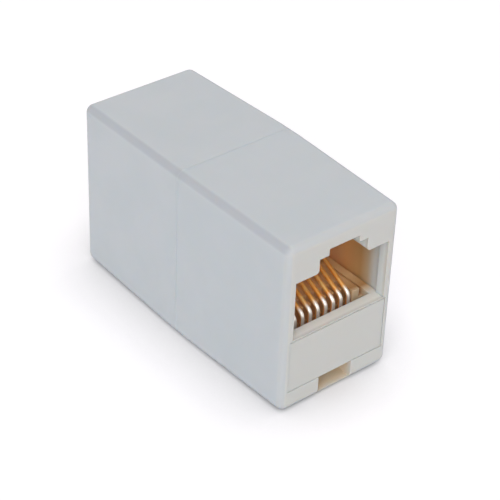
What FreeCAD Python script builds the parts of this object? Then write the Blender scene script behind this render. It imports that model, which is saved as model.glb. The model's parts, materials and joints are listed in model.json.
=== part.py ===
"""In-line coupler with an 8-position modular jack in each end.

Frame: X runs across the case, Y along it, Z up. The origin is the middle of the underside, on the
straight band where the two half shells meet. Each jack is drawn at the -Y end; the pieces of the
rear jack are the same pieces turned half a turn about Z. Millimetres throughout.
"""
import FreeCAD, Part
import os
import re
from math import radians

import Sketcher
from FreeCAD import Placement, Rotation, Vector

SIZES = {
    # Case: two drafted half shells that swell from their end faces to a short straight band.
    "case_length": 33.6,
    "end_height": 19.8,
    "side_bulge": 0.34,
    "top_bulge": 0.27,
    "bottom_bulge": 0.21,
    "joint_band": 1.5,
    "corner_radius": 0.9,
    "rim_radius": 0.8,
    "rim_margin": 0.05,
    "case_wall": 0.85,
    "floor_wall": 1.0,
    "end_wall": 1.2,
    "inner_radius": 0.25,
    "tongue_length": 1.2,
    "tongue_thickness": 0.4,
    "joint_clearance": 0.05,
    # Jack opening, with heights measured up from the lower edge of the end face.
    "sill_height": 8.7,
    "port_width": 12.0,
    "port_height": 6.95,
    "key_width": 6.25,
    "key_height": 1.6,
    "latch_width": 3.9,
    "latch_height": 0.75,
    "header_depth": 2.2,
    "tooth_radius": 0.4,
    # Strip across the bottom of the end wall, with its notch.
    "strip_height": 2.3,
    "notch_width": 4.4,
    "notch_depth": 1.9,
    "notch_floor": 0.25,
    # Contact carrier. The case is as wide as the carrier, a clearance and a wall each side.
    "carrier_width": 12.44,
    "side_clearance": 0.08,
    "fit_clearance": 0.05,
    "nose_recess": 0.05,
    "nose_root": 0.15,
    "score_drop": 0.15,
    "score_height": 0.12,
    "score_depth": 0.15,
    "block_width": 9.6,
    "block_front": 2.35,
    "block_rise": 0.3,
    "groove_width": 0.55,
    "groove_depth": 0.8,
    "well_clearance": 0.15,
    "comb_drop": 1.6,
    "comb_length": 1.35,
    "comb_clearance": 0.07,
    "jack_depth": 12.6,
    "back_wall": 1.2,
    "roof_gap": 0.5,
    "rear_rib": 1.0,
    "solder_clearance": 0.5,
    # Contact wires.
    "contact_pitch": 1.016,
    "wire_diameter": 0.46,
    "bore_clearance": 0.05,
    "leg_depth": 2.6,
    "bend_rise": 0.05,
    "contact_slope": 28,
    "tip_depth": 10.2,
    "upper_bend": 0.7,
    "lower_bend": 0.6,
    "low_row": 3.4,
    "high_row": 5.4,
    "pin_length": 0.7,
    # Circuit board between the two carriers.
    "board_thickness": 1.6,
    "board_inset": 0.12,
    "board_clearance": 0.03,
    "hole_clearance": 0.07,
}
CONTACTS = 8
PAST = 1.0  # how far a cut runs beyond the face that it opens

FRONT = "(-case_length / 2)"
EDGE = "bottom_bulge"
ROOF = f"({EDGE} + end_height)"
SILL = f"({EDGE} + sill_height)"
PORT_TOP = f"({SILL} + port_height)"
KEY_TOP = f"({PORT_TOP} + key_height)"
LATCH_TOP = f"({KEY_TOP} + latch_height)"
STRIP_TOP = f"({EDGE} + strip_height)"
DRAFTED = "(case_length / 2 - joint_band)"
END_WIDTH = "(carrier_width + 2 * side_clearance + 2 * case_wall)"
BAND_WIDTH = f"({END_WIDTH} + 2 * side_bulge)"
BAND_TOP = f"({ROOF} + top_bulge)"
CARRIER_BASE = f"({EDGE} + floor_wall + fit_clearance)"
CARRIER_TOP = f"({ROOF} - case_wall - roof_gap)"
BOARD_FACE = "(board_thickness / 2)"
CARRIER_REAR = f"(-{BOARD_FACE} - board_clearance)"
BLOCK_TOP = f"({SILL} + block_rise)"
JACK_BACK = f"({FRONT} + jack_depth)"
NOSE_BACK = f"({FRONT} + end_wall + fit_clearance + nose_root)"
WELL_WIDTH = f"({CONTACTS - 1} * contact_pitch + wire_diameter + 2 * well_clearance)"
WELL_BACK = f"({FRONT} + leg_depth + lower_bend + well_clearance)"
RELIEF_DEPTH = "(pin_length + solder_clearance)"
BORE_RADIUS = "(wire_diameter / 2 + bore_clearance)"
HOLE_RADIUS = "(wire_diameter / 2 + hole_clearance)"

doc = FreeCAD.newDocument("InlineCoupler")


def write_sheet():
    """Put every driving dimension in the spreadsheet under its own alias."""
    sheet = doc.addObject("Spreadsheet::Sheet", "Sizes")
    for row, (alias, size) in enumerate(SIZES.items(), start=1):
        sheet.set(f"A{row}", alias)
        sheet.set(f"B{row}", str(size))
        sheet.setAlias(f"B{row}", alias)
    doc.recompute()
    return sheet


def bind(item, prop, formula):
    """Bind a property to a formula written in the sheet's aliases."""
    words = re.sub(r"[a-z_]+", lambda m: f"Sizes.{m[0]}" if m[0] in SIZES else m[0], formula)
    item.setExpression(prop, words)


def origin_feature(body, role):
    """Return the body's own origin plane or axis with this role."""
    return next(item for item in body.Origin.OriginFeatures if item.Role == role)


def new_body(label):
    """Start a body whose label is the name of its node."""
    body = doc.addObject("PartDesign::Body", label)
    body.Label = label
    return body


def new_sketch(body, name, plane, offset):
    """Attach a sketch to one of the body's planes, moved along that plane's normal."""
    sketch = body.newObject("Sketcher::SketchObject", name)
    sketch.AttachmentSupport = [(origin_feature(body, plane), "")]
    sketch.MapMode = "FlatFace"
    bind(sketch, "AttachmentOffset.Base.z", offset)
    return sketch


def dimension(sketch, name, formula, kind, *elements, start):
    """Add a named constraint with a starting value and bind it to its formula."""
    index = sketch.addConstraint(Sketcher.Constraint(kind, *elements, start))
    sketch.renameConstraint(index, name)
    bind(sketch, f"Constraints.{name}", formula)


def line(sketch, begin, end):
    """Draw a straight line and return its index."""
    return sketch.addGeometry(Part.LineSegment(Vector(*begin, 0), Vector(*end, 0)), False)


def arc(sketch, centre, radius, begin, end):
    """Draw an arc, counter-clockwise between two angles in degrees, and return its index."""
    circle = Part.Circle(Vector(*centre, 0), Vector(0, 0, 1), radius)
    return sketch.addGeometry(Part.ArcOfCircle(circle, radians(begin), radians(end)), False)


def constrain(sketch, kind, *elements):
    """Add a constraint that has no size."""
    sketch.addConstraint(Sketcher.Constraint(kind, *elements))


def rounded_outline(body, name, y, width, bottom, top, radius):
    """Draw a rounded rectangle across the case at the given y.

    It starts from a plain example shape, which its dimensions then pull to size.
    """
    sketch = new_sketch(body, name, "XZ_Plane", f"-({y})")
    half, low, high, bend = 7.0, 1.0, 19.0, 0.5
    inset, above, below = half - bend, low + bend, high - bend
    floor = line(sketch, (-inset, low), (inset, low))
    right = line(sketch, (half, above), (half, below))
    roof = line(sketch, (inset, high), (-inset, high))
    left = line(sketch, (-half, below), (-half, above))
    corners = [
        arc(sketch, (inset, above), bend, 270, 360),
        arc(sketch, (inset, below), bend, 0, 90),
        arc(sketch, (-inset, below), bend, 90, 180),
        arc(sketch, (-inset, above), bend, 180, 270),
    ]
    sides = (floor, right, roof, left)
    for corner, before, after in zip(corners, sides, sides[1:] + sides[:1]):
        constrain(sketch, "Tangent", before, 2, corner, 1)
        constrain(sketch, "Tangent", corner, 2, after, 1)
    for corner in corners[1:]:
        constrain(sketch, "Equal", corners[0], corner)
    constrain(sketch, "Vertical", right)
    constrain(sketch, "Horizontal", roof)
    constrain(sketch, "Vertical", left)
    constrain(sketch, "Symmetric", floor, 1, floor, 2, -2)
    dimension(sketch, "radius", radius, "Radius", corners[0], start=bend)
    dimension(sketch, "width", width, "DistanceX", left, 1, right, 1, start=2 * half)
    dimension(sketch, "top", top, "DistanceY", -1, 1, roof, 1, start=high)
    dimension(sketch, "height", f"{top} - ({bottom})", "DistanceY", floor, 1, roof, 1, start=high - low)
    return sketch


def extrude(body, kind, name, sketch, length, towards_rear):
    """Pad or pocket a sketch drawn across the case, towards the rear or the front."""
    feature = body.newObject(f"PartDesign::{kind}", name)
    feature.Profile = (sketch, [""])
    bind(feature, "Length", length)
    feature.Reversed = towards_rear if kind == "Pad" else not towards_rear
    doc.recompute()
    return feature


def loft(body, kind, name, first, last):
    """Loft between two outlines, adding or removing the solid between them."""
    feature = body.newObject(f"PartDesign::{kind}", name)
    feature.Profile = (first, [""])
    feature.Sections = [(last, [""])]
    feature.Ruled = True
    doc.recompute()
    return feature


def block(body, kind, name, x, y, z):
    """Add or remove a box given by its two bounds along each axis."""
    feature = body.newObject(f"PartDesign::{kind}Box", name)
    for size, base, (low, high) in zip(("Length", "Width", "Height"), "xyz", (x, y, z)):
        bind(feature, size, f"({high}) - ({low})")
        bind(feature, f"Placement.Base.{base}", low)
    doc.recompute()
    return feature


def across(width):
    """Return the two bounds of a width centred on the case."""
    return f"-({width}) / 2", f"({width}) / 2"


def bore(body, name, x, y, z, radius):
    """Remove a round hole that runs along the case between two y bounds."""
    feature = body.newObject("PartDesign::SubtractiveCylinder", name)
    feature.Placement = Placement(Vector(), Rotation(Vector(1, 0, 0), -90))
    bind(feature, "Radius", radius)
    bind(feature, "Height", f"({y[1]}) - ({y[0]})")
    for base, place in zip("xyz", (x, y[0], z)):
        bind(feature, f"Placement.Base.{base}", place)
    doc.recompute()
    return feature


def repeat(body, name, feature, count, pitch):
    """Repeat a feature across the case at a pitch."""
    pattern = body.newObject("PartDesign::LinearPattern", name)
    pattern.Originals = [feature]
    pattern.Direction = (origin_feature(body, "X_Axis"), [""])
    pattern.Mode = "Spacing"
    bind(pattern, "Offset", pitch)
    pattern.Occurrences = count
    body.Tip = pattern
    doc.recompute()
    return pattern


def round_edges(body, name, base, radius, chosen):
    """Fillet the edges of a feature that the test picks out."""
    names = [f"Edge{i}" for i, edge in enumerate(base.Shape.Edges, start=1) if chosen(edge)]
    feature = body.newObject("PartDesign::Fillet", name)
    feature.Base = (base, names)
    bind(feature, "Radius", radius)
    doc.recompute()
    return feature


def contact_place(number):
    """Return where a contact lies across the front jack: contact 1 is on the +X side."""
    return f"({(CONTACTS + 1) / 2 - number} * contact_pitch)"


def turn_to_rear(body):
    """Turn a piece of the front jack half a turn about Z, to its place in the rear jack."""
    body.Placement = Placement(Vector(), Rotation(Vector(0, 0, 1), 180))
    return body


def half_shell(label, has_tongue):
    """One half of the case: a drafted box, open at the joint, with the jack opening in its end."""
    body = new_body(label)
    end = rounded_outline(body, "EndOutline", FRONT, END_WIDTH, EDGE, ROOF, "corner_radius")
    band = rounded_outline(
        body, "BandOutline", "-joint_band", BAND_WIDTH, "0", BAND_TOP, "corner_radius"
    )
    loft(body, "AdditiveLoft", "DraftedCase", end, band)
    straight = extrude(body, "Pad", "JointBand", band, "joint_band", towards_rear=True)
    front = straight.Shape.BoundBox.YMin
    rim = "min(rim_radius; corner_radius - rim_margin)"
    round_edges(body, "EndRim", straight, rim, lambda edge: edge.BoundBox.YMax < front + 0.001)

    step = "(case_wall - tongue_thickness)"
    if has_tongue:
        tongue = rounded_outline(
            body, "TongueOutline", "0", f"{BAND_WIDTH} - 2 * {step}", "floor_wall - tongue_thickness",
            f"{BAND_TOP} - {step}", "inner_radius + tongue_thickness"
        )
        extrude(body, "Pad", "JointTongue", tongue, "tongue_length", towards_rear=True)

    narrow = f"{END_WIDTH} - 2 * case_wall + 2 * side_bulge * end_wall / {DRAFTED}"
    inner_end = rounded_outline(
        body, "InnerEndOutline", f"{FRONT} + end_wall", narrow,
        f"{EDGE} + floor_wall - bottom_bulge * end_wall / {DRAFTED}",
        f"{ROOF} - case_wall + top_bulge * end_wall / {DRAFTED}", "inner_radius"
    )
    inner_band = rounded_outline(
        body, "InnerBandOutline", "-joint_band", f"{BAND_WIDTH} - 2 * case_wall", "floor_wall",
        f"{BAND_TOP} - case_wall", "inner_radius"
    )
    loft(body, "SubtractiveLoft", "Hollow", inner_end, inner_band)
    mouth = f"joint_band + tongue_length + {PAST}"
    extrude(body, "Pocket", "HollowMouth", inner_band, mouth, towards_rear=True)
    if not has_tongue:
        gap = "joint_clearance"
        rebate = rounded_outline(
            body, "RebateOutline", "0", f"{BAND_WIDTH} - 2 * ({step} - {gap})",
            f"floor_wall - tongue_thickness - {gap}", f"{BAND_TOP} - {step} + {gap}",
            f"inner_radius + tongue_thickness + {gap}"
        )
        extrude(body, "Pocket", "JointRebate", rebate, f"tongue_length + {gap}", towards_rear=False)

    block(
        body, "Additive", "Header", across(f"{END_WIDTH} - case_wall"),
        (f"{FRONT} + end_wall / 2", f"{FRONT} + header_depth"), (PORT_TOP, f"{ROOF} - case_wall / 2")
    )
    through = (f"{FRONT} - {PAST}", f"{FRONT} + header_depth + {PAST}")
    window = "carrier_width + 2 * fit_clearance"
    block(body, "Subtractive", "NoseWindow", across(window), through, (STRIP_TOP, SILL))
    block(body, "Subtractive", "Port", across("port_width"), through, (STRIP_TOP, PORT_TOP))
    block(body, "Subtractive", "Keyway", across("key_width"), through, (SILL, KEY_TOP))
    block(body, "Subtractive", "LatchKeyway", across("latch_width"), through, (SILL, LATCH_TOP))
    notch = (f"{FRONT} - {PAST}", f"{FRONT} + notch_depth")
    notched = block(
        body, "Subtractive", "Notch", across("notch_width"), notch, (f"{EDGE} + notch_floor", STRIP_TOP)
    )
    tooth_x = SIZES["key_width"] / 2
    tooth_z = SIZES["bottom_bulge"] + SIZES["sill_height"] + SIZES["port_height"]
    round_edges(
        body, "ToothCorners", notched, "tooth_radius", lambda edge: runs_along_case(edge, tooth_x, tooth_z)
    )
    return body


def runs_along_case(edge, x, z):
    """Tell whether an edge is a line along Y at this distance from the middle and this height."""
    box = edge.BoundBox
    lies_there = abs(abs(box.Center.x) - x) < 0.001 and abs(box.Center.z - z) < 0.001
    return lies_there and box.XLength < 0.001 and box.ZLength < 0.001


def contact_carrier(label):
    """Inner moulding of one jack: nose, sill, comb, floor and back wall, bored for the contacts."""
    body = new_body(label)
    wide = across("carrier_width")
    nose_front = f"{FRONT} + nose_recess"
    wall_back = f"{JACK_BACK} + back_wall"
    block(
        body, "Additive", "Base", wide, (f"{FRONT} + end_wall + fit_clearance", CARRIER_REAR), (CARRIER_BASE, SILL)
    )
    nose = (nose_front, NOSE_BACK)
    block(body, "Additive", "Nose", wide, nose, (f"{STRIP_TOP} + fit_clearance", SILL))
    raised = (f"{FRONT} + block_front", JACK_BACK)
    block(body, "Additive", "RaisedFloor", across("block_width"), raised, (SILL, BLOCK_TOP))
    block(body, "Additive", "BackWall", wide, (JACK_BACK, wall_back), (SILL, CARRIER_TOP))
    for name, edge in (("RightRib", "(carrier_width / 2)"), ("LeftRib", "(rear_rib - carrier_width / 2)")):
        rib = (f"{edge} - rear_rib", edge)
        block(body, "Additive", name, rib, (wall_back, CARRIER_REAR), (SILL, CARRIER_TOP))

    over = f"{BLOCK_TOP} + {PAST}"
    well_floor = f"{EDGE} + low_row - lower_bend"
    inner_gap = "block_width + 2 * groove_width"
    ahead = (NOSE_BACK, f"{FRONT} + block_front")
    block(body, "Subtractive", "Trough", across(inner_gap), ahead, (well_floor, over))
    comb_top = f"{SILL} - comb_drop"
    behind = (f"{FRONT} + block_front", WELL_BACK)
    block(body, "Subtractive", "Well", across(WELL_WIDTH), behind, (comb_top, over))
    first = contact_place(CONTACTS)
    half_slot = "(wire_diameter / 2 + comb_clearance)"
    slot = (f"{first} - {half_slot}", f"{first} + {half_slot}")
    lower = block(body, "Subtractive", "LegSlot", slot, behind, (well_floor, comb_top))
    repeat(body, "LegSlots", lower, CONTACTS, "contact_pitch")
    comb = (WELL_BACK, f"{WELL_BACK} + comb_length")
    upper = block(body, "Subtractive", "CombSlot", slot, comb, (comb_top, over))
    repeat(body, "CombSlots", upper, CONTACTS, "contact_pitch")
    grooved = (NOSE_BACK, JACK_BACK)
    for name, edge in (("RightGroove", "(block_width / 2)"), ("LeftGroove", "(-block_width / 2 - groove_width)")):
        groove = (edge, f"{edge} + groove_width")
        block(body, "Subtractive", name, groove, grooved, (f"{SILL} - groove_depth", over))

    relief = (f"{CARRIER_REAR} - {RELIEF_DEPTH}", f"{CARRIER_REAR} + {PAST}")
    spread = f"{CONTACTS} * contact_pitch + wire_diameter"
    rows = ("low_row - wire_diameter * 2", "high_row + wire_diameter * 2")
    block(
        body, "Subtractive", "SolderRelief", across(spread), relief, (f"{EDGE} + {rows[0]}", f"{EDGE} + {rows[1]}")
    )
    along = (f"{FRONT} + leg_depth", f"{CARRIER_REAR} - {RELIEF_DEPTH} / 2")
    for name, number, row in (("LowBore", CONTACTS - 1, "low_row"), ("HighBore", CONTACTS, "high_row")):
        hole = bore(body, name, contact_place(number), along, f"{EDGE} + {row}", BORE_RADIUS)
        repeat(body, f"{name}s", hole, CONTACTS // 2, "2 * contact_pitch")

    notch = (f"{FRONT} - {PAST}", f"{FRONT} + notch_depth")
    low = (f"{CARRIER_BASE} - {PAST}", f"{STRIP_TOP} + fit_clearance")
    block(body, "Subtractive", "NotchRelief", across("notch_width"), notch, low)
    score = (f"{FRONT} - {PAST}", f"{nose_front} + score_depth")
    line = (f"{SILL} - score_drop - score_height", f"{SILL} - score_drop")
    block(body, "Subtractive", "ScoreLine", across(f"carrier_width + {PAST}"), score, line)
    return body


def contact(label, number):
    """One spring wire: pin through the board, run under the floor, leg up the comb, sloping tip.

    The route starts from a plain example shape, which its dimensions then pull to size.
    """
    body = new_body(label)
    row = f"{EDGE} + " + ("high_row" if number % 2 == 0 else "low_row")
    pin_end = f"{BOARD_FACE} + pin_length"

    route = new_sketch(body, "Route", "YZ_Plane", "0")
    leg, low, high, bend, pin, tip, slope = -14.0, 4.0, 8.0, 0.6, 1.5, (-6.0, 12.5), 28
    run = line(route, (pin, low), (leg + bend, low))
    knee = arc(route, (leg + bend, low + bend), bend, 180, 270)
    rise = line(route, (leg, low + bend), (leg, high))
    crook = arc(route, (leg + bend, high), bend, 90 + slope, 180)
    spring = line(route, (leg + 0.3, high + bend), tip)
    constrain(route, "Tangent", run, 2, knee, 2)
    constrain(route, "Tangent", knee, 1, rise, 1)
    constrain(route, "Tangent", rise, 2, crook, 2)
    constrain(route, "Tangent", crook, 1, spring, 1)
    constrain(route, "Horizontal", run)
    constrain(route, "Vertical", rise)
    dimension(route, "lower_bend", "lower_bend", "Radius", knee, start=bend)
    dimension(route, "upper_bend", "upper_bend", "Radius", crook, start=bend)
    dimension(route, "pin_end", pin_end, "DistanceX", -1, 1, run, 1, start=pin)
    dimension(route, "row", row, "DistanceY", -1, 1, run, 1, start=low)
    dimension(route, "leg", f"-({FRONT} + leg_depth)", "DistanceX", rise, 1, -1, 1, start=-leg)
    dimension(route, "tip", f"-({FRONT} + tip_depth)", "DistanceX", spring, 2, -1, 1, start=-tip[0])
    dimension(route, "slope", "contact_slope", "Angle", spring, start=radians(slope))
    crook_start = f"{SILL} + bend_rise - upper_bend * tan((90 - contact_slope) / 2)"
    dimension(route, "crook_start", crook_start, "DistanceY", -1, 1, rise, 2, start=high)

    section = new_sketch(body, "Section", "XZ_Plane", f"-({pin_end})")
    wire = section.addGeometry(Part.Circle(Vector(0, low, 0), Vector(0, 0, 1), 0.2), False)
    constrain(section, "PointOnObject", wire, 3, -2)
    dimension(section, "row", row, "DistanceY", -1, 1, wire, 3, start=low)
    dimension(section, "radius", "wire_diameter / 2", "Radius", wire, start=0.2)
    doc.recompute()
    pipe = body.newObject("PartDesign::AdditivePipe", "Wire")
    pipe.Profile = (section, [""])
    pipe.Spine = (route, [""])
    doc.recompute()
    return body


def circuit_board(label):
    """Upright board at mid-length, drilled in two rows for the pins of both jacks."""
    body = new_body(label)
    faces = (f"-{BOARD_FACE}", BOARD_FACE)
    block(body, "Additive", "Board", across("carrier_width - 2 * board_inset"), faces, (CARRIER_BASE, CARRIER_TOP))
    drilled = (f"-{BOARD_FACE} - {PAST}", f"{BOARD_FACE} + {PAST}")
    for name, row in (("LowHole", "low_row"), ("HighHole", "high_row")):
        hole = bore(body, name, contact_place(CONTACTS), drilled, f"{EDGE} + {row}", HOLE_RADIUS)
        repeat(body, f"{name}s", hole, CONTACTS, "contact_pitch")
    return body


def check(nodes):
    """Stop if any object of the document failed, or any node has no sound solid."""
    doc.recompute()
    failed = [item.Name for item in doc.Objects if {"Invalid", "Error"} & set(item.State)]
    if failed:
        raise RuntimeError(f"failed features: {failed}")
    for node in nodes:
        shape = node.Shape
        if shape.isNull() or not shape.isValid() or len(shape.Solids) != 1:
            raise RuntimeError(f"{node.Label} has no sound solid")


write_sheet()
nodes = [
    half_shell("front_shell", has_tongue=True),
    turn_to_rear(half_shell("rear_shell", has_tongue=False)),
    contact_carrier("front_contact_carrier"),
    turn_to_rear(contact_carrier("rear_contact_carrier")),
    circuit_board("circuit_board"),
]
for number in range(1, CONTACTS + 1):
    front_wire = contact(f"front_contact_{number}", number)
    bind(front_wire, "Placement.Base.x", contact_place(number))
    rear_wire = turn_to_rear(contact(f"rear_contact_{number}", number))
    bind(rear_wire, "Placement.Base.x", f"-{contact_place(number)}")
    nodes += [front_wire, rear_wire]
check(nodes)
os.makedirs("parts", exist_ok=True)
for node in nodes:
    node.Shape.exportStep(f"parts/{node.Label}.step")
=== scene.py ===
"""Looks of an in-line network coupler with a modular jack in each end.

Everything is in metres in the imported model's frame: X across the case, Y along it from the
front jack to the rear one, Z up, with the origin in the middle of the underside. The two half
shells, the contact carriers and the circuit board keep their solids and get procedural finishes.
The spring wires are redrawn as smooth swept surfaces with rounded tips.
"""
from __future__ import annotations

import json
import logging
import math
from dataclasses import dataclass, field
from enum import Enum
from typing import Any

import bpy
import numpy as np
from mathutils import Matrix, Vector

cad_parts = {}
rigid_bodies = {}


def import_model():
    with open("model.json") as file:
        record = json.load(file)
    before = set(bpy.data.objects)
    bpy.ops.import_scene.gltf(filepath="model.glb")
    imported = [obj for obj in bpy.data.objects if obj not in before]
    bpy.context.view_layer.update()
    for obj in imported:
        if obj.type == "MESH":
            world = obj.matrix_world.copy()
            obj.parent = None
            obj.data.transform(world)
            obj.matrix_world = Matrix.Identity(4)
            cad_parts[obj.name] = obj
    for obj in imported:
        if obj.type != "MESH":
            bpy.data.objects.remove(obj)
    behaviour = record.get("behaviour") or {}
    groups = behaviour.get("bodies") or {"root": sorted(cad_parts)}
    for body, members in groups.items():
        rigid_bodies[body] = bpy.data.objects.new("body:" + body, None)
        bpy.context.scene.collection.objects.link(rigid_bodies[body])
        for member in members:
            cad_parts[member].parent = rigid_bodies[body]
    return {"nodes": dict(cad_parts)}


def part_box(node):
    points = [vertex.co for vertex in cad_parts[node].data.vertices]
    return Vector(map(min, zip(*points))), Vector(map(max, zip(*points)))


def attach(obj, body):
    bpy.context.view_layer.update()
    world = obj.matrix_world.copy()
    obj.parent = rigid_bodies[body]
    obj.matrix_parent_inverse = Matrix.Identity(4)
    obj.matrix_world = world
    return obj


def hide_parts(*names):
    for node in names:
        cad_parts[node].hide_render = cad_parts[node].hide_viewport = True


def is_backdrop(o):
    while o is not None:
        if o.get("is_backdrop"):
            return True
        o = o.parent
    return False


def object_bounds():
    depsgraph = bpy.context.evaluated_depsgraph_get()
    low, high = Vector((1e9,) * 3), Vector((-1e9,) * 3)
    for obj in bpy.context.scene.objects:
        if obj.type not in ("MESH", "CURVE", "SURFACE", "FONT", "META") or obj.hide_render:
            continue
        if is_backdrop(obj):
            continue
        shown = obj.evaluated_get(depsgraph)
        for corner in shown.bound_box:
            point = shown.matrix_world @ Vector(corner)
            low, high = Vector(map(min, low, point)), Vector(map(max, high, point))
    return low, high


LOG = logging.getLogger("coupler")
BODY = "root"
WIRE_MAP = "WireRun"
MM = 0.001

Socket = bpy.types.NodeSocket
Colour = tuple[float, float, float, float]


def tone(red: float, green: float, blue: float) -> Colour:
    """Turn a display colour into the linear colour that shaders use.

    Each channel c is c / 12.92 near black, and ((c + 0.055) / 1.055) ** 2.4 elsewhere.

    Args:
        red: Red from 0 to 255.
        green: Green from 0 to 255.
        blue: Blue from 0 to 255.

    Returns:
        The linear colour with an alpha of 1.
    """
    c = np.array([red, green, blue]) / 255.0
    linear = np.where(c <= 0.04045, c / 12.92, ((c + 0.055) / 1.055) ** 2.4)
    return (float(linear[0]), float(linear[1]), float(linear[2]), 1.0)


class JackEnd(Enum):
    """The two ends of the coupler. The rear jack is the front one turned half a turn about Z."""

    FRONT = "front"
    REAR = "rear"

    @property
    def turn(self) -> float:
        """Give the factor on X and Y that carries a front jack's shape to this end.

        Returns:
            1 for the front end, and -1 for the rear one.
        """
        return 1.0 if self is JackEnd.FRONT else -1.0


class Slot(Enum):
    """The record's material slots."""

    CASE = "case"
    CARRIER = "carrier"
    CONTACT = "contact"
    BOARD = "board"


class Graph:
    """Adds nodes to one shader tree and links them."""

    def __init__(self, tree: bpy.types.NodeTree) -> None:
        """Start from a tree with no nodes.

        Args:
            tree: The tree of a material, a world or a group.
        """
        self.tree = tree
        tree.nodes.clear()

    def node(
        self, kind: str, inputs: dict[Any, Any] | None = None, **settings: Any
    ) -> bpy.types.Node:
        """Add one node.

        Args:
            kind: Blender's type name of the node.
            inputs: Values or sockets for its inputs, by name or index.
            settings: Properties of the node itself.

        Returns:
            The new node.
        """
        made = self.tree.nodes.new(kind)
        for name, value in settings.items():
            setattr(made, name, value)
        for name, value in (inputs or {}).items():
            self.feed(made.inputs[name], value)
        return made

    def feed(self, socket: Socket, value: Any) -> None:
        """Link a socket to another one, or set its value.

        Args:
            socket: The input to feed.
            value: An output socket, or a plain value.
        """
        if isinstance(value, bpy.types.NodeSocket):
            self.tree.links.new(value, socket)
        else:
            socket.default_value = value

    def maths(self, operation: str, first: Any, second: Any = 0.0, clamp: bool = False) -> Socket:
        """Combine two numbers.

        Args:
            operation: Blender's name of the operation.
            first: The first number, or its socket.
            second: The second number, or its socket. Some operations don't read it.
            clamp: Whether the result is kept from 0 to 1.

        Returns:
            The result's socket.
        """
        made = self.node(
            "ShaderNodeMath", {0: first, 1: second}, operation=operation, use_clamp=clamp
        )
        return made.outputs[0]

    def ramp(
        self, value: Any, low: float, high: float, to_low: float = 0.0, to_high: float = 1.0
    ) -> Socket:
        """Map a number smoothly from one range to another.

        Args:
            value: The number's socket.
            low: Where the range starts.
            high: Where the range ends.
            to_low: The result at the start.
            to_high: The result at the end.

        Returns:
            The result's socket, to_low + (to_high - to_low) * s(t), where s(t) = 3 t^2 - 2 t^3.
        """
        made = self.node(
            "ShaderNodeMapRange",
            {
                "Value": value, "From Min": low, "From Max": high,
                "To Min": to_low, "To Max": to_high,
            },
            interpolation_type="SMOOTHSTEP",
        )
        return made.outputs["Result"]

    def blend(self, amount: Any, first: Any, second: Any) -> Socket:
        """Mix two colours.

        The node has sockets for each kind of data: inputs 6 and 7 and output 2 are the colours.

        Args:
            amount: Share of the second colour.
            first: The first colour.
            second: The second colour.

        Returns:
            The mixed colour's socket.
        """
        made = self.node("ShaderNodeMix", data_type="RGBA")
        self.feed(made.inputs[0], amount)
        self.feed(made.inputs[6], first)
        self.feed(made.inputs[7], second)
        return made.outputs[2]

    def bands(self, value: Any, colours: tuple[tuple[float, Colour], ...]) -> Socket:
        """Read a colour off a row of stops.

        Args:
            value: Where to read, from 0 to 1.
            colours: The stops, each a place and its colour.

        Returns:
            The colour's socket.
        """
        made = self.node("ShaderNodeValToRGB", {"Fac": value})
        stops = made.color_ramp.elements
        for place, _ in colours[2:]:
            stops.new(place)
        for stop, (place, colour) in zip(stops, sorted(colours), strict=True):
            stop.position, stop.color = place, colour
        return made.outputs["Color"]

    def noise(self, where: Any, size: Any, detail: float = 2.0, roughness: float = 0.5) -> Socket:
        """Add smooth noise.

        Args:
            where: The coordinates that it reads.
            size: About how large its features are, in metres.
            detail: How many finer octaves are added.
            roughness: How strong the finer octaves are.

        Returns:
            The noise's socket, from 0 to 1.
        """
        scale = self.maths("DIVIDE", 1.0, size)
        made = self.node(
            "ShaderNodeTexNoise",
            {"Vector": where, "Scale": scale, "Detail": detail, "Roughness": roughness},
        )
        return made.outputs["Fac"]

    def place(self) -> Socket:
        """Find where the shaded point is.

        Returns:
            The object coordinates' socket, which are the frame's own metres.
        """
        return self.node("ShaderNodeTexCoord").outputs["Object"]

    def use(self, group: bpy.types.NodeTree, inputs: dict[str, Any]) -> bpy.types.Node:
        """Place a shared effect in this tree.

        Args:
            group: The effect's tree.
            inputs: Values or sockets for its inputs, by name.

        Returns:
            The node that stands for the effect.
        """
        return self.node("ShaderNodeGroup", inputs, node_tree=group)


class Effect:
    """A node group that several finishes share. A subclass lists its sockets and draws it."""

    name = "Effect"
    inputs: dict[str, tuple[str, float]] = {}
    outputs: dict[str, str] = {}

    def tree(self) -> bpy.types.NodeTree:
        """Find the group's tree, or build it the first time that it is asked for.

        Returns:
            The tree, which any material can place.
        """
        made = bpy.data.node_groups.get(self.name)
        if made is None:
            made = bpy.data.node_groups.new(self.name, "ShaderNodeTree")
            for name, (kind, value) in self.inputs.items():
                socket = made.interface.new_socket(name, in_out="INPUT", socket_type=kind)
                socket.default_value = value
            for name, kind in self.outputs.items():
                made.interface.new_socket(name, in_out="OUTPUT", socket_type=kind)
            graph = Graph(made)
            given = graph.node("NodeGroupInput")
            results = self.draw(graph, given.outputs)
            graph.node("NodeGroupOutput", results)
        return made

    def draw(self, graph: Graph, given: Any) -> dict[str, Socket]:
        """Draw the effect's nodes.

        Args:
            graph: The group's graph.
            given: The group's input sockets, by name.

        Returns:
            The socket that feeds each output.
        """
        raise NotImplementedError


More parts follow.
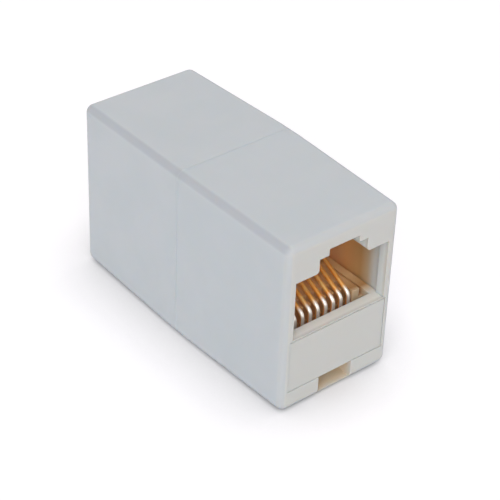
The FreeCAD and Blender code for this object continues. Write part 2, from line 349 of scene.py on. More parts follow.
class MouldingGrain(Effect):
    """Fine grain that a moulding takes from its tool, and the slow drift of its colour."""

    name = "Moulding Grain"
    inputs = {"Grain Size": ("NodeSocketFloat", 0.0001), "Drift Size": ("NodeSocketFloat", 0.004)}
    outputs = {"Height": "NodeSocketFloat", "Drift": "NodeSocketFloat"}
    wave_factor: float = 6.0
    fine_share: float = 0.7
    drift_range: tuple[float, float] = (0.3, 0.7)

    def draw(self, graph: Graph, given: Any) -> dict[str, Socket]:
        """Draw grain as fine noise and a share of wavier noise, and drift as coarse noise.

        Args:
            graph: The group's graph.
            given: The group's input sockets, by name.

        Returns:
            The grain's height and the drift, both from 0 to 1.
        """
        where = graph.place()
        fine = graph.noise(where, given["Grain Size"], detail=2.0, roughness=0.6)
        wavy = graph.noise(where, graph.maths("MULTIPLY", given["Grain Size"], self.wave_factor))
        height = graph.maths(
            "ADD",
            graph.maths("MULTIPLY", fine, self.fine_share),
            graph.maths("MULTIPLY", wavy, 1.0 - self.fine_share),
        )
        drift = graph.noise(where, given["Drift Size"], detail=3.0)
        return {"Height": height, "Drift": graph.ramp(drift, *self.drift_range)}


class SoftEdge(Effect):
    """Rounds sharp edges in the shading, and finds where they are."""

    name = "Soft Edge"
    inputs = {"Radius": ("NodeSocketFloat", 0.0001)}
    outputs = {"Normal": "NodeSocketVector", "Edge": "NodeSocketFloat"}
    turn: tuple[float, float] = (0.01, 0.2)
    samples: int = 8

    def draw(self, graph: Graph, given: Any) -> dict[str, Socket]:
        """Draw the edge mask as a ramp of 1 - n . b, with n the face's normal, b the rounded one.

        Args:
            graph: The group's graph.
            given: The group's input sockets, by name.

        Returns:
            The rounded normal, and the mask, 1 on an edge.
        """
        bevel = graph.node("ShaderNodeBevel", {"Radius": given["Radius"]}, samples=self.samples)
        rounded = bevel.outputs["Normal"]
        true_normal = graph.node("ShaderNodeNewGeometry").outputs["Normal"]
        product = graph.node(
            "ShaderNodeVectorMath", {0: rounded, 1: true_normal}, operation="DOT_PRODUCT"
        )
        off = graph.maths("SUBTRACT", 1.0, product.outputs["Value"])
        return {"Normal": rounded, "Edge": graph.ramp(off, *self.turn)}


class Scuffs(Effect):
    """Thin rubbed streaks that handling and plugging leave."""

    name = "Handling Scuffs"
    inputs = {"Streak Size": ("NodeSocketFloat", 0.0003), "Amount": ("NodeSocketFloat", 0.3)}
    outputs = {"Streaks": "NodeSocketFloat"}
    lean: tuple[float, float, float] = (0.35, 0.2, 0.5)
    stretch: tuple[float, float, float] = (1.0, 0.12, 1.0)
    streak: tuple[float, float] = (0.6, 0.72)
    patch: tuple[float, float] = (0.5, 0.65)
    patch_factor: float = 12.0

    def draw(self, graph: Graph, given: Any) -> dict[str, Socket]:
        """Draw streaks as noise stretched about eight times along a leaning axis, in a few patches.

        Args:
            graph: The group's graph.
            given: The group's input sockets, by name.

        Returns:
            The streaks' mask, up to Amount.
        """
        turned = graph.node(
            "ShaderNodeMapping",
            {"Vector": graph.place(), "Rotation": self.lean, "Scale": self.stretch},
        )
        thin = graph.noise(turned.outputs[0], given["Streak Size"], detail=4.0)
        patch_size = graph.maths("MULTIPLY", given["Streak Size"], self.patch_factor)
        broad = graph.noise(graph.place(), patch_size)
        lines = graph.ramp(thin, *self.streak)
        kept = graph.maths("MULTIPLY", lines, graph.ramp(broad, *self.patch))
        return {"Streaks": graph.maths("MULTIPLY", kept, given["Amount"])}


class MouldedRims(Effect):
    """Masks of the rounded rims at the case's ends and the rounded edges along it, where a painted
    tone and a painted shade are laid.
    """

    name = "Moulded Rims"
    inputs = {"Side": ("NodeSocketFloat", 0.0064)}
    outputs = {"End Rim": "NodeSocketFloat", "Long Edge": "NodeSocketFloat"}
    bend: tuple[float, float] = (0.1, 0.45)

    def draw(self, graph: Graph, given: Any) -> dict[str, Socket]:
        """Draw the rims from products of the normal's parts n.

        An end rim is where |n_y| times the larger of |n_x| and |n_z| is large, and a long edge
        where |n_x n_z| is, beyond Side from the middle.

        Args:
            graph: The group's graph.
            given: The group's input sockets, by name.

        Returns:
            The masks of the end rims and of the long edges.
        """
        normal = graph.node("ShaderNodeNewGeometry").outputs["Normal"]
        parts = graph.node("ShaderNodeSeparateXYZ", {"Vector": normal}).outputs
        across, along, up = (graph.maths("ABSOLUTE", parts[axis]) for axis in "XYZ")
        end = graph.maths("MULTIPLY", along, graph.maths("MAXIMUM", across, up))
        edge = graph.maths("MULTIPLY", across, up)
        away = graph.node("ShaderNodeSeparateXYZ", {"Vector": graph.place()}).outputs["X"]
        outside = graph.maths("GREATER_THAN", graph.maths("ABSOLUTE", away), given["Side"])
        return {
            "End Rim": graph.ramp(end, *self.bend),
            "Long Edge": graph.maths("MULTIPLY", graph.ramp(edge, *self.bend), outside),
        }


class InwardDepth(Effect):
    """How far a point lies behind its end face, and whether it is in a hollow of that face."""

    name = "Inward Depth"
    inputs = {
        "End": ("NodeSocketFloat", 0.0168),
        "Deepest": ("NodeSocketFloat", 0.012),
        "Half Width": ("NodeSocketFloat", 0.0066),
        "Floor": ("NodeSocketFloat", 0.0011),
        "Roof": ("NodeSocketFloat", 0.0193),
    }
    outputs = {
        "Depth": "NodeSocketFloat",
        "Inside": "NodeSocketFloat",
        "End Face": "NodeSocketFloat",
    }
    face_fade: tuple[float, float] = (0.1 * MM, 0.8 * MM)

    def draw(self, graph: Graph, given: Any) -> dict[str, Socket]:
        """Draw depth as (End - |y|) / Deepest, and inside as |x| and z lying between the walls.

        The end face fades out over the rounded rim, as End - |y| grows.

        Args:
            graph: The group's graph.
            given: The group's input sockets, by name.

        Returns:
            The depth from 0 to 1, and the masks of the hollow and of the end face.
        """
        axes = graph.node("ShaderNodeSeparateXYZ", {"Vector": graph.place()}).outputs
        behind = graph.maths("SUBTRACT", given["End"], graph.maths("ABSOLUTE", axes["Y"]))
        depth = graph.maths("DIVIDE", behind, given["Deepest"], clamp=True)
        between = graph.maths("LESS_THAN", graph.maths("ABSOLUTE", axes["X"]), given["Half Width"])
        above = graph.maths("GREATER_THAN", axes["Z"], given["Floor"])
        below = graph.maths("LESS_THAN", axes["Z"], given["Roof"])
        inside = graph.maths("MULTIPLY", between, graph.maths("MULTIPLY", above, below))
        face = graph.ramp(behind, *self.face_fade, 1.0, 0.0)
        return {"Depth": depth, "Inside": inside, "End Face": face}


@dataclass(frozen=True)
class MouldedPlastic:
    """Matt moulded plastic with fine grain, drifting colour, rubbed edges, and painted light and
    shade.

    The painted tones of the jack and of the notch, warm shade and bounce light, are stops by depth
    behind the end face, as a share of the deepest place. The end face takes a painted warm light,
    the end rims a painted tone, and the long edges a painted shade. The lips are the edges of the
    line where the half shells meet, lightened with painted light to fill that line's shade.
    """

    half_length: float
    name: str
    colour: Colour
    drift_colour: Colour
    wear_and_lip_light_colour: Colour
    painted_end_tint: Colour
    painted_rim_tone: Colour
    painted_fold_shade: Colour
    jack_painted_tones: tuple[tuple[float, Colour], ...]
    notch_painted_tones: tuple[tuple[float, Colour], ...]
    grain_size: float = 0.10 * MM
    grain_depth: float = 0.004 * MM
    drift_size: float = 5.0 * MM
    edge_radius: float = 0.09 * MM
    scuffing: float = 0.25
    roughness: float = 0.48
    roughness_drift: tuple[float, float] = (-0.03, 0.05)
    scuff_polish: float = 0.12
    edge_wear: float = 0.5
    scuff_wear: float = 0.25
    # Painted light: how much the faces beside the joint line are lightened to fill its shade.
    lip_light_amount: float = 0.5
    lip_fade: tuple[float, float] = (0.10 * MM, 0.22 * MM)
    notch_half_width: float = 2.25 * MM
    notch_floor: float = 0.1 * MM
    notch_roof: float = 2.6 * MM
    bump_strength: float = 0.5
    refraction: float = 1.5
    inner_light: float = 0.3
    inner_spread: tuple[float, float, float] = (1.0, 0.55, 0.3)
    inner_scale: float = 1.2 * MM

    def build(self) -> bpy.types.Material:
        """Make the material.

        Returns:
            A material whose colour, roughness and normal all come from its nodes.
        """
        material = bpy.data.materials.new(self.name)
        material.use_nodes = True
        graph = Graph(material.node_tree)
        grain = graph.use(
            MouldingGrain().tree(), {"Grain Size": self.grain_size, "Drift Size": self.drift_size}
        ).outputs
        edge = graph.use(SoftEdge().tree(), {"Radius": self.edge_radius}).outputs
        scuffs = graph.use(Scuffs().tree(), {"Amount": self.scuffing}).outputs["Streaks"]
        jack = graph.use(InwardDepth().tree(), {"End": self.half_length}).outputs
        rims = graph.use(MouldedRims().tree(), {}).outputs
        length = graph.node("ShaderNodeSeparateXYZ", {"Vector": graph.place()}).outputs["Y"]
        lips = graph.ramp(graph.maths("ABSOLUTE", length), *self.lip_fade, self.lip_light_amount, 0.0)
        notch = graph.use(
            InwardDepth().tree(),
            {
                "End": self.half_length, "Half Width": self.notch_half_width,
                "Floor": self.notch_floor, "Roof": self.notch_roof,
            },
        ).outputs

        colour = graph.blend(grain["Drift"], self.colour, self.drift_colour)
        # Painted light: the end face is tinted warmer, for the warmer light that falls on it.
        colour = graph.blend(jack["End Face"], colour, self.painted_end_tint)
        # Painted light: the faces beside the joint line are lightened to fill the shade of that
        # line.
        colour = graph.blend(lips, colour, self.wear_and_lip_light_colour)
        # Painted shade: the rounded end rims are toned down from the highlight that the lamps give
        # them.
        colour = graph.blend(rims["End Rim"], colour, self.painted_rim_tone)
        # Painted shade: the long rounded edges away from the middle are darkened.
        colour = graph.blend(rims["Long Edge"], colour, self.painted_fold_shade)
        for mask, wear in ((edge["Edge"], self.edge_wear), (scuffs, self.scuff_wear)):
            colour = graph.blend(graph.maths("MULTIPLY", mask, wear), colour, self.wear_and_lip_light_colour)
        # Painted light and shade: the jack and the notch are tinted by depth, lighter at the mouth,
        # then warm shade and bounce light.
        for hollow, stops in ((jack, self.jack_painted_tones), (notch, self.notch_painted_tones)):
            colour = graph.blend(hollow["Inside"], colour, graph.bands(hollow["Depth"], stops))
        smoothest, roughest = (self.roughness + drift for drift in self.roughness_drift)
        rough = graph.ramp(grain["Drift"], 0.0, 1.0, smoothest, roughest)
        rough = graph.maths("SUBTRACT", rough, graph.maths("MULTIPLY", scuffs, self.scuff_polish))
        bump = graph.node(
            "ShaderNodeBump",
            {
                "Strength": self.bump_strength, "Distance": self.grain_depth,
                "Height": grain["Height"], "Normal": edge["Normal"],
            },
        )
        shader = graph.node(
            "ShaderNodeBsdfPrincipled",
            {
                "Base Color": colour, "Roughness": rough, "Normal": bump.outputs[0],
                "IOR": self.refraction, "Subsurface Weight": self.inner_light,
                "Subsurface Radius": self.inner_spread, "Subsurface Scale": self.inner_scale,
            },
        )
        graph.node("ShaderNodeOutputMaterial", {"Surface": shader.outputs[0]})
        return material


@dataclass(frozen=True)
class PlatedWire:
    """Gold-plated spring wire, drawn lengthwise, with a tinned end where it is soldered.

    A painted highlight, a near-white tone, lies on the outward side of the legs, above a set
    height.
    """

    leg_face: float
    name: str = "Gold Plated Wire"
    gold: Colour = tone(255, 176, 82)
    rubbed_gold: Colour = tone(255, 206, 130)
    # Painted highlight colour for the legs' outward face.
    leg_highlight_colour: Colour = tone(252, 246, 238)
    tin: Colour = tone(205, 206, 208)
    cloud_size: float = 1.2 * MM
    rubbed_range: tuple[float, float] = (0.35, 0.7)
    line_density: tuple[float, float, float] = (60.0, 24.0, 1.0)
    line_range: tuple[float, float] = (0.2, 0.8)
    line_depth: float = 0.004 * MM
    bump_strength: float = 0.3
    tinned_length: float = 3.0 * MM
    tin_edge: float = 0.4 * MM
    highlight_behind: tuple[float, float] = (1.1 * MM, 0.5 * MM)
    highlight_height: tuple[float, float] = (6.9 * MM, 7.5 * MM)
    highlight_turn: tuple[float, float] = (0.0, 0.55)
    roughness: float = 0.38
    roughness_drift: tuple[float, float] = (-0.05, 0.1)
    tin_roughness: float = 0.15
    metal: float = 0.55

    def build(self) -> bpy.types.Material:
        """Make the material, which reads the wire's own map: u along it in metres, v around it.

        Returns:
            A material whose colour, roughness and normal all come from its nodes.
        """
        material = bpy.data.materials.new(self.name)
        material.use_nodes = True
        graph = Graph(material.node_tree)
        run = graph.node("ShaderNodeUVMap", uv_map=WIRE_MAP).outputs[0]
        along = graph.node("ShaderNodeSeparateXYZ", {"Vector": run}).outputs["X"]
        drawn = graph.node("ShaderNodeMapping", {"Vector": run, "Scale": self.line_density})
        lines = graph.node(
            "ShaderNodeTexNoise", {"Vector": drawn.outputs[0], "Scale": 1.0, "Detail": 3.0}
        )
        cloud = graph.noise(graph.place(), self.cloud_size, detail=3.0)
        tinned = graph.ramp(
            graph.maths("ADD", along, graph.maths("MULTIPLY", cloud, self.tin_edge)),
            self.tinned_length, self.tinned_length + self.tin_edge, 1.0, 0.0,
        )
        round_it = graph.node("ShaderNodeSeparateXYZ", {"Vector": run}).outputs["Y"]
        outward = graph.maths("COSINE", graph.maths("MULTIPLY", round_it, 2 * math.pi))
        axes = graph.node("ShaderNodeSeparateXYZ", {"Vector": graph.place()}).outputs
        # Painted highlight: the outward face of each leg, above a set height, is tinted near white
        # for the white reflection that it shows.
        inner, outer = (self.leg_face - behind for behind in self.highlight_behind)
        at_leg = graph.ramp(graph.maths("ABSOLUTE", axes["Y"]), inner, outer)
        highlight_zone = graph.maths("MULTIPLY", at_leg, graph.ramp(axes["Z"], *self.highlight_height))
        leg_highlight = graph.maths("MULTIPLY", highlight_zone, graph.ramp(outward, *self.highlight_turn))
        colour = graph.blend(graph.ramp(cloud, *self.rubbed_range), self.gold, self.rubbed_gold)
        colour = graph.blend(leg_highlight, colour, self.leg_highlight_colour)
        colour = graph.blend(tinned, colour, self.tin)
        smoothest, roughest = (self.roughness + drift for drift in self.roughness_drift)
        rough = graph.ramp(lines.outputs["Fac"], *self.line_range, smoothest, roughest)
        rough = graph.maths("ADD", rough, graph.maths("MULTIPLY", tinned, self.tin_roughness))
        bump = graph.node(
            "ShaderNodeBump",
            {
                "Strength": self.bump_strength, "Distance": self.line_depth,
                "Height": lines.outputs["Fac"],
            },
        )
        shader = graph.node(
            "ShaderNodeBsdfPrincipled",
            {
                "Base Color": colour, "Metallic": self.metal, "Roughness": rough,
                "Normal": bump.outputs[0],
            },
        )
        graph.node("ShaderNodeOutputMaterial", {"Surface": shader.outputs[0]})
        return material


@dataclass(frozen=True)
class BoardLaminate:
    """Green solder mask over glass laminate, with a tinned pad round each hole."""

    pitch: float
    rows: tuple[float, float]
    name: str = "Solder Mask Laminate"
    mask: Colour = tone(28, 92, 54)
    dark_mask: Colour = tone(18, 70, 42)
    pad: Colour = tone(196, 190, 170)
    pad_radius: float = 0.46 * MM
    pad_edge: float = 0.04 * MM
    weave_density: float = 900.0
    patch_size: float = 2.0 * MM
    roughness: float = 0.3
    weave_roughness: float = 0.08
    weave_share: float = 0.2
    relief: float = 0.02 * MM
    bump_strength: float = 0.5

    def build(self) -> bpy.types.Material:
        """Make the material.

        A point's distance from its nearest hole is sqrt(dx^2 + dz^2): dx is how far x lies from
        the nearest half-pitch line, and dz how far z lies from the nearer row.

        Returns:
            A material whose colour, metal, roughness and normal all come from its nodes.
        """
        material = bpy.data.materials.new(self.name)
        material.use_nodes = True
        graph = Graph(material.node_tree)
        axes = graph.node("ShaderNodeSeparateXYZ", {"Vector": graph.place()}).outputs
        cell = graph.maths("FRACT", graph.maths("DIVIDE", axes["X"], self.pitch))
        across = graph.maths("MULTIPLY", graph.maths("SUBTRACT", cell, 0.5), self.pitch)
        offsets = [graph.maths("SUBTRACT", axes["Z"], row) for row in self.rows]
        up = graph.maths("MINIMUM", *(graph.maths("ABSOLUTE", offset) for offset in offsets))
        squares = [graph.maths("MULTIPLY", side, side) for side in (across, up)]
        away = graph.maths("SQRT", graph.maths("ADD", *squares))
        pad = graph.ramp(away, self.pad_radius, self.pad_radius + self.pad_edge, 1.0, 0.0)
        weave = graph.node(
            "ShaderNodeTexWave",
            {"Vector": graph.place(), "Scale": self.weave_density, "Distortion": 1.0},
        ).outputs["Fac"]
        colour = graph.blend(graph.noise(graph.place(), self.patch_size), self.mask, self.dark_mask)
        colour = graph.blend(pad, colour, self.pad)
        weave_rough = graph.maths("MULTIPLY", weave, self.weave_roughness)
        rough = graph.maths("ADD", self.roughness, weave_rough)
        height = graph.maths("ADD", graph.maths("MULTIPLY", weave, self.weave_share), pad)
        bump = graph.node(
            "ShaderNodeBump",
            {"Strength": self.bump_strength, "Distance": self.relief, "Height": height},
        )
        shader = graph.node(
            "ShaderNodeBsdfPrincipled",
            {"Base Color": colour, "Metallic": pad, "Roughness": rough, "Normal": bump.outputs[0]},
        )
        graph.node("ShaderNodeOutputMaterial", {"Surface": shader.outputs[0]})
        return material


def mesh_piece(
    name: str,
    points: np.ndarray,
    faces: list[tuple[int, ...]],
    uv: np.ndarray | None = None,
    smooth: bool = True,
) -> bpy.types.Object:
    """Put a surface into a mesh object at the origin.

    Args:
        name: The piece's name.
        points: An (n, 3) array of places in metres.
        faces: Vertex indices of each face, counter-clockwise seen from outside.
        uv: An (m, 2) array, one row per face corner.
        smooth: Whether the faces are shaded smooth.

    Returns:
        The new object, linked to the scene.
    """
    mesh = bpy.data.meshes.new(name)
    mesh.from_pydata(points.tolist(), [], faces)
    mesh.polygons.foreach_set("use_smooth", np.full(len(mesh.polygons), smooth))
    if uv is not None:
        layer = mesh.uv_layers.new(name=WIRE_MAP)
        layer.data.foreach_set("uv", uv.astype(np.float32).ravel())
    mesh.update()
    piece = bpy.data.objects.new(name, mesh)
    bpy.context.scene.collection.objects.link(piece)
    return piece


@dataclass(frozen=True)
class WireRoute:
    """The centre line of one spring wire, in the plane of its jack.

    From the pin it runs forward under the floor, turns up a leg, and turns back over the comb
    into a straight spring that slopes up to its tip. Distances along it are measured from the pin.
    """

    pin_end: float
    row: float
    leg: float
    tip: float
    tip_height: float
    slope: float
    lower_bend: float
    upper_bend: float

    @property
    def spring(self) -> tuple[float, float]:
        """Find where the upper bend ends and the spring starts.

        Returns:
            The place's y and z.
        """
        y = self.leg + self.upper_bend * (1.0 - math.sin(self.slope))
        return y, self.tip_height - (self.tip - y) * math.tan(self.slope)

    @property
    def crook_height(self) -> float:
        """Find how high the upper bend's centre is.

        Returns:
            The centre's z.
        """
        return self.spring[1] - self.upper_bend * math.cos(self.slope)

    @property
    def lengths(self) -> np.ndarray:
        """Measure the route's five parts.

        Returns:
            The lengths of the run, the lower bend, the leg, the upper bend and the spring.
        """
        run = self.pin_end - self.leg - self.lower_bend
        knee = self.lower_bend * math.pi / 2
        leg = self.crook_height - self.row - self.lower_bend
        crook = self.upper_bend * (math.pi / 2 - self.slope)
        spring = (self.tip - self.spring[0]) / math.cos(self.slope)
        return np.array([run, knee, leg, crook, spring])

    def follow(self, s: np.ndarray) -> tuple[np.ndarray, np.ndarray]:
        """Find places along the route.

        With q the heading in the jack's plane, the heading is pi on the run, falls to pi / 2 over
        the lower bend, stays there up the leg, and falls to the slope over the upper bend. On a
        straight part a place is start + t (cos q, sin q). On a bend of radius R it is
        centre + R (-sin q, cos q).

        Args:
            s: Distances from the pin, in metres.

        Returns:
            An (n, 2) array of places (y, z), and the headings.
        """
        run, knee, leg, crook, _ = self.lengths
        marks = np.cumsum([run, knee, leg, crook])
        part = np.searchsorted(marks, s, side="right")
        down = (s - marks[0]) / knee
        over = (s - marks[2]) / crook
        heading = np.select(
            [part == 0, part == 1, part == 2, part == 3],
            [
                np.full_like(s, math.pi), math.pi * (1.0 - down / 2),
                np.full_like(s, math.pi / 2), math.pi / 2 - over * (math.pi / 2 - self.slope),
            ],
            self.slope,
        )
        low, high = self.row + self.lower_bend, self.crook_height
        onward = s - marks[3]
        y = np.select(
            [part == 0, part == 1, part == 2, part == 3],
            [
                self.pin_end - s, self.leg + self.lower_bend * (1.0 - np.sin(heading)),
                np.full_like(s, self.leg), self.leg + self.upper_bend * (1.0 - np.sin(heading)),
            ],
            self.spring[0] + onward * math.cos(self.slope),
        )
        z = np.select(
            [part == 0, part == 1, part == 2, part == 3],
            [
                np.full_like(s, self.row), low + self.lower_bend * np.cos(heading),
                low + (s - marks[1]), high + self.upper_bend * np.cos(heading),
            ],
            self.spring[1] + onward * math.sin(self.slope),
        )
        return np.stack([y, z], axis=1), heading


@dataclass
class ContactWires:
    """The eight spring wires of one jack, swept along their routes with rounded ends."""

    end: JackEnd
    finish: bpy.types.Material
    slope: float = math.radians(28.0)
    lower_bend: float = 0.6 * MM
    upper_bend: float = 0.7 * MM
    tip_depth: float = 10.2 * MM
    count: int = 8
    around: int = 16
    step: float = 0.16 * MM
    cap_rings: int = 5

    def route(self, low: Vector, high: Vector, length: float) -> tuple[WireRoute, float]:
        """Work out a wire's route and radius from its solid's box.

        Args:
            low: The box's lowest corner.
            high: The box's highest corner.
            length: The whole case's length.

        Returns:
            The route, drawn as in the front jack, and the wire's radius.
        """
        radius = (high.x - low.x) / 2
        near, far = sorted((self.end.turn * low.y, self.end.turn * high.y))
        tip = self.tip_depth - length / 2
        return (
            WireRoute(
                pin_end=far, row=low.z + radius, leg=near + radius, tip=tip,
                tip_height=high.z - radius * math.cos(self.slope), slope=self.slope,
                lower_bend=self.lower_bend, upper_bend=self.upper_bend,
            ),
            radius,
        )

    def stations(self, total: float, radius: float) -> np.ndarray:
        """Space the rings evenly along the wire, and by cosine over each rounded end.

        Args:
            total: The wire's length.
            radius: The wire's radius.

        Returns:
            Distances from the pin, without the two poles.
        """
        cap = radius * (1.0 - np.cos(np.linspace(0.0, math.pi / 2, self.cap_rings + 2)[1:-1]))
        middle = np.linspace(radius, total - radius, int(total / self.step))
        return np.concatenate([cap, middle, total - cap[::-1]])

    def sweep(self, name: str, route: WireRoute, radius: float, across: float) -> bpy.types.Object:
        """Carry a circle along the route.

        A point is p(s) + r(s) (cos a n(s) + sin a x), where p is the route, n its normal in the
        jack's plane, x the axis across the case, and r(s) = sqrt(R^2 - (R - s)^2) within a
        radius R of either end and R between.

        Args:
            name: The piece's name.
            route: The wire's centre line.
            radius: The wire's radius.
            across: Where the wire lies across the case.

        Returns:
            The wire as a closed surface.
        """
        total = float(route.lengths.sum())
        s = self.stations(total, radius)
        centre, heading = route.follow(s)
        from_end = np.minimum(np.minimum(s, total - s), radius)
        ring = np.sqrt(radius**2 - (radius - from_end) ** 2)
        angle = np.linspace(0.0, 2 * math.pi, self.around, endpoint=False)
        lift, side = np.cos(angle)[None, :], np.sin(angle)[None, :]
        x = ring[:, None] * side
        y = centre[:, :1] - ring[:, None] * lift * np.sin(heading)[:, None]
        z = centre[:, 1:] + ring[:, None] * lift * np.cos(heading)[:, None]
        body = np.stack([x, y, z], axis=2).reshape(-1, 3)
        ends, _ = route.follow(np.array([0.0, total]))
        poles = np.column_stack([np.zeros(2), ends])
        points = np.concatenate([body, poles])
        points[:, :2] *= self.end.turn
        points[:, 0] += across

        rows, ring_of = np.meshgrid(np.arange(len(s) - 1), np.arange(self.around), indexing="ij")
        here = rows * self.around + ring_of
        beside = rows * self.around + (ring_of + 1) % self.around
        corners = [here, beside, beside + self.around, here + self.around]
        quads = np.stack(corners, axis=2).reshape(-1, 4)
        turn = np.arange(self.around)
        following = (turn + 1) % self.around
        last = (len(s) - 1) * self.around
        start_pole, end_pole = len(body), len(body) + 1
        start_cap = np.column_stack([np.full_like(turn, start_pole), following, turn])
        end_cap = np.column_stack([np.full_like(turn, end_pole), last + turn, last + following])
        faces = [tuple(face) for part in (quads, start_cap, end_cap) for face in part.tolist()]

        v = turn / self.around
        next_v = v + 1 / self.around
        quad_v = np.tile(np.stack([v, next_v, next_v, v], axis=1), (len(s) - 1, 1))
        quad_u = np.repeat(np.stack([s[:-1], s[:-1], s[1:], s[1:]], axis=1), self.around, axis=0)
        cap_v = np.stack([v, v, v], axis=1)
        uv = np.concatenate(
            [
                np.stack([quad_u, quad_v], axis=2).reshape(-1, 2),
                np.stack([np.zeros_like(cap_v), cap_v], axis=2).reshape(-1, 2),
                np.stack([np.full_like(cap_v, total), cap_v], axis=2).reshape(-1, 2),
            ]
        )
        return mesh_piece(name, points, faces, uv)

    def build(self, length: float) -> None:
        """Sweep every wire of the jack in the place of its solid.

        Args:
            length: The whole case's length.
        """
        for number in range(1, self.count + 1):
            node = f"{self.end.value}_contact_{number}"
            low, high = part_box(node)
            route, radius = self.route(low, high, length)
            name = f"{self.end.value}_spring_wire_{number}"
            piece = self.sweep(name, route, radius, (low.x + high.x) / 2)
            piece.data.materials.append(self.finish)
            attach(piece, BODY)
            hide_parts(node)
            LOG.info("%s follows a route of %.1f mm", piece.name, route.lengths.sum() / MM)


@dataclass
class Mouldings:
    """The case's half shells, the contact carriers and the board, which keep their solids."""

    nodes: dict[str, bpy.types.Object]
    half_length: float
    pitch: float = 1.016 * MM

    def case(self) -> bpy.types.Material:
        """Make the plastic of the half shells.

        Returns:
            A plastic that is cool outside, with painted warm light on the end faces, and painted
            shade and warm bounce light deep in the jacks and the notches.
        """
        return MouldedPlastic(
            self.half_length,
            "Outer Plastic",
            colour=tone(192, 196, 200),
            drift_colour=tone(190, 195, 199),
            wear_and_lip_light_colour=tone(203, 206, 208),
            # Painted warm light on the end face.
            painted_end_tint=tone(198, 197, 193),
            # Painted shade that tones down the end rims' highlight.
            painted_rim_tone=tone(188, 191, 193),
            # Painted shade on the long rounded edges.
            painted_fold_shade=tone(174, 178, 184),
            # Painted light and shade by depth in the jack: lighter at the mouth, then warm shade
            # and bounce light.
            jack_painted_tones=(
                (0.01, tone(198, 197, 193)),
                (0.04, tone(215, 221, 222)),
                (0.17, tone(203, 208, 208)),
                (0.25, tone(194, 174, 142)),
                (0.34, tone(194, 154, 104)),
                (0.52, tone(228, 178, 120)),
                (0.80, tone(254, 214, 164)),
            ),
            # Painted warm shade on the notch's floor.
            notch_painted_tones=((0.01, tone(198, 197, 193)), (0.07, tone(218, 202, 180))),
        ).build()

    def carrier(self) -> bpy.types.Material:
        """Make the plastic of the contact carriers.

        Returns:
            A plastic that is a little warmer than the case's, with painted shade and warm bounce
            light deep in the jacks and the notches.
        """
        return MouldedPlastic(
            self.half_length,
            "Carrier Plastic",
            colour=tone(197, 196, 192),
            drift_colour=tone(195, 194, 189),
            wear_and_lip_light_colour=tone(206, 205, 202),
            painted_end_tint=tone(197, 196, 192),
            painted_rim_tone=tone(197, 196, 192),
            painted_fold_shade=tone(197, 196, 192),
            # Painted light and shade by depth in the jack: lighter at the mouth, then warm shade
            # and bounce light.
            jack_painted_tones=(
                (0.01, tone(197, 196, 192)),
                (0.04, tone(224, 224, 219)),
                (0.13, tone(219, 217, 211)),
                (0.20, tone(210, 184, 150)),
                (0.24, tone(184, 136, 88)),
                (0.42, tone(240, 200, 150)),
                (0.85, tone(252, 214, 166)),
            ),
            # Painted warm shade on the notch's floor.
            notch_painted_tones=((0.01, tone(196, 196, 193)), (0.07, tone(200, 174, 146))),
            edge_radius=0.06 * MM,
            scuffing=0.35,
        ).build()

    def board(self) -> bpy.types.Material:
        """Make the board's laminate.

        Returns:
            A laminate whose rows of pads are at the heights of the pins of wires 1 and 2.
        """
        heights = []
        for number in (1, 2):
            low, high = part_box(f"{JackEnd.FRONT.value}_contact_{number}")
            heights.append(low.z + (high.x - low.x) / 2)
        return BoardLaminate(self.pitch, (heights[0], heights[1])).build()

    def dress(self, name: str, finish: bpy.types.Material) -> None:
        """Give one solid its finish.

        Args:
            name: The solid's name.
            finish: The material that it gets.
        """
        mesh = self.nodes[name].data
        mesh.materials.clear()
        mesh.materials.append(finish)
        LOG.info("%s is finished in %s", name, finish.name)

    def build(self) -> None:
        """Dress the shells, the carriers and the board, each in its slot's finish."""
        finishes = {Slot.CASE: self.case(), Slot.CARRIER: self.carrier(), Slot.BOARD: self.board()}
        for end in JackEnd:
            self.dress(f"{end.value}_shell", finishes[Slot.CASE])
            self.dress(f"{end.value}_contact_carrier", finishes[Slot.CARRIER])
        self.dress("circuit_board", finishes[Slot.BOARD])


@dataclass(frozen=True)
class Softbox:
    """One soft square lamp, with its place in metres and its power in watts."""

    name: str
    place: tuple[float, float, float]
    power: float
    colour: tuple[float, float, float] = (1.0, 1.0, 1.0)
    size: float = 0.62


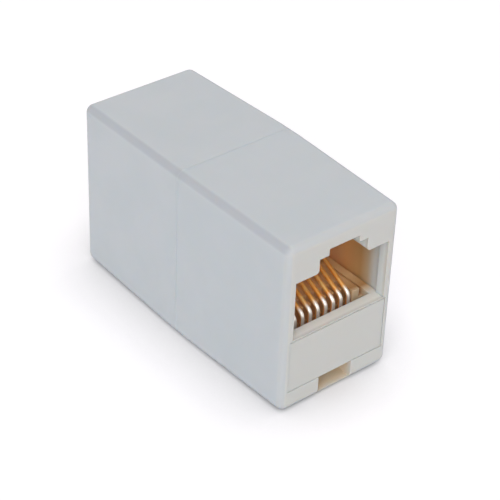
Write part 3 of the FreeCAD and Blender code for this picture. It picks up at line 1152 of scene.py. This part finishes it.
@dataclass
class Studio:
    """The camera, the even light and the white floor."""

    azimuth: float = math.radians(-40.436)
    elevation: float = math.radians(35.209)
    roll: float = math.radians(2.338)
    distance: float = 179.582 * MM
    aim: Vector = field(default_factory=lambda: Vector((2.380, 0.0, 6.729)) * MM)
    lens: float = 121.16
    sensor: float = 36.0
    clip: tuple[float, float] = (0.01, 10.0)
    white: Colour = (1.0, 1.0, 1.0, 1.0)
    ambient: float = 0.45
    floor_half: float = 1.5
    plain: Colour = (0.88, 0.90, 0.93, 1.0)
    shade: Colour = (0.50, 0.50, 0.50, 1.0)
    glow: Colour = (0.58, 0.565, 0.59, 1.0)
    contact: float = 8.5 * MM
    samples: int = 8
    softboxes: tuple[Softbox, ...] = (
        Softbox("Key Softbox", (-0.482, -0.482, 0.731), 4.0),
        Softbox("Front Softbox", (-0.689, -0.620, 0.375), 1.7),
        Softbox("Top Softbox", (-0.199, -0.237, 0.951), 1.6, (1.0, 0.97, 0.95)),
        Softbox("Right Softbox", (0.862, 0.000, 0.500), 1.1),
    )

    def camera(self) -> None:
        """Place the camera.

        It looks back along b = (sin a cos e, -cos a cos e, sin e) from aim + distance b, and its
        right and up axes are turned about b by the roll.
        """
        back = Vector(
            (
                math.sin(self.azimuth) * math.cos(self.elevation),
                -math.cos(self.azimuth) * math.cos(self.elevation),
                math.sin(self.elevation),
            )
        )
        level = Vector((math.cos(self.azimuth), math.sin(self.azimuth), 0.0))
        upright = back.cross(level)
        right = level * math.cos(self.roll) + upright * math.sin(self.roll)
        up = upright * math.cos(self.roll) - level * math.sin(self.roll)
        data = bpy.data.cameras.new("Camera")
        data.lens = self.lens
        data.sensor_width = self.sensor
        data.clip_start, data.clip_end = self.clip
        camera = bpy.data.objects.new("Camera", data)
        turned = Matrix((right, up, back)).transposed().to_4x4()
        camera.matrix_world = Matrix.Translation(self.aim + back * self.distance) @ turned
        bpy.context.scene.collection.objects.link(camera)
        bpy.context.scene.camera = camera

    def seen(self, graph: Graph) -> Socket:
        """Find the rays that show the background itself.

        Args:
            graph: The graph of a material or a world.

        Returns:
            A socket that is 1 for camera, glossy and transmission rays, and 0 for others.
        """
        path = graph.node("ShaderNodeLightPath").outputs
        shiny = graph.maths("MAXIMUM", path["Is Glossy Ray"], path["Is Transmission Ray"])
        return graph.maths("MAXIMUM", path["Is Camera Ray"], shiny)

    def world(self) -> None:
        """Light the scene evenly from all round, and show white behind it."""
        world = bpy.data.worlds.new("Studio")
        world.use_nodes = True
        bpy.context.scene.world = world
        graph = Graph(world.node_tree)
        lit = graph.node("ShaderNodeBackground", {"Color": self.white, "Strength": self.ambient})
        shown = graph.node("ShaderNodeBackground", {"Color": self.white, "Strength": 1.0})
        both = graph.node(
            "ShaderNodeMixShader", {0: self.seen(graph), 1: lit.outputs[0], 2: shown.outputs[0]}
        )
        graph.node("ShaderNodeOutputWorld", {"Surface": both.outputs[0]})

    def hang(self, softbox: Softbox) -> None:
        """Hang one soft square lamp that faces the object.

        Args:
            softbox: The lamp's place, size and light.
        """
        data = bpy.data.lights.new(softbox.name, "AREA")
        data.size, data.energy, data.color = softbox.size, softbox.power, softbox.colour
        lamp = bpy.data.objects.new(softbox.name, data)
        lamp.location = softbox.place
        lamp.rotation_mode = "QUATERNION"
        lamp.rotation_quaternion = (self.aim - Vector(softbox.place)).to_track_quat("-Z", "Y")
        bpy.context.scene.collection.objects.link(lamp)

    def floor(self) -> None:
        """Lay the white floor, which shows white where it is lit and keeps a soft cool shadow.

        What is seen of it is the light that falls on its shade, and a glow that fades within the
        contact distance of the object. Other rays meet a plain diffuse floor.
        """
        material = bpy.data.materials.new("Studio Floor")
        material.use_nodes = True
        graph = Graph(material.node_tree)
        plain = graph.node("ShaderNodeBsdfDiffuse", {"Color": self.plain})
        shade = graph.node("ShaderNodeBsdfDiffuse", {"Color": self.shade})
        sky = graph.node(
            "ShaderNodeAmbientOcclusion", {"Distance": self.contact}, samples=self.samples
        )
        glow = graph.node("ShaderNodeEmission", {"Color": self.glow, "Strength": sky.outputs["AO"]})
        shown = graph.node("ShaderNodeAddShader", {0: shade.outputs[0], 1: glow.outputs[0]})
        both = graph.node(
            "ShaderNodeMixShader", {0: self.seen(graph), 1: plain.outputs[0], 2: shown.outputs[0]}
        )
        graph.node("ShaderNodeOutputMaterial", {"Surface": both.outputs[0]})
        side = np.array([-1.0, 1.0]) * self.floor_half
        x, y = np.meshgrid(side, side, indexing="xy")
        points = np.column_stack([x.ravel(), y.ravel(), np.zeros(4)])
        piece = mesh_piece("studio_floor", points, [(0, 1, 3, 2)], smooth=False)
        piece.data.materials.append(material)
        piece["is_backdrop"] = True

    def build(self) -> None:
        """Set up the whole studio."""
        bpy.context.scene.view_settings.view_transform = "Standard"
        self.camera()
        self.world()
        for softbox in self.softboxes:
            self.hang(softbox)
        self.floor()
        LOG.info("studio is lit")


def main() -> None:
    """Load the frame, measure the case's length and build each sub-assembly in order."""
    logging.basicConfig(level=logging.INFO, format="%(name)s: %(message)s")
    for left_over in list(bpy.data.objects):
        bpy.data.objects.remove(left_over)
    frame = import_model()
    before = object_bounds()
    length = before[1].y - before[0].y
    Mouldings(frame["nodes"], length / 2).build()
    wire_front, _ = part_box(f"{JackEnd.FRONT.value}_contact_1")
    wire = PlatedWire(leg_face=-wire_front.y).build()
    for end in JackEnd:
        ContactWires(end, wire).build(length)
    Studio().build()


if __name__ == "__main__":
    main()
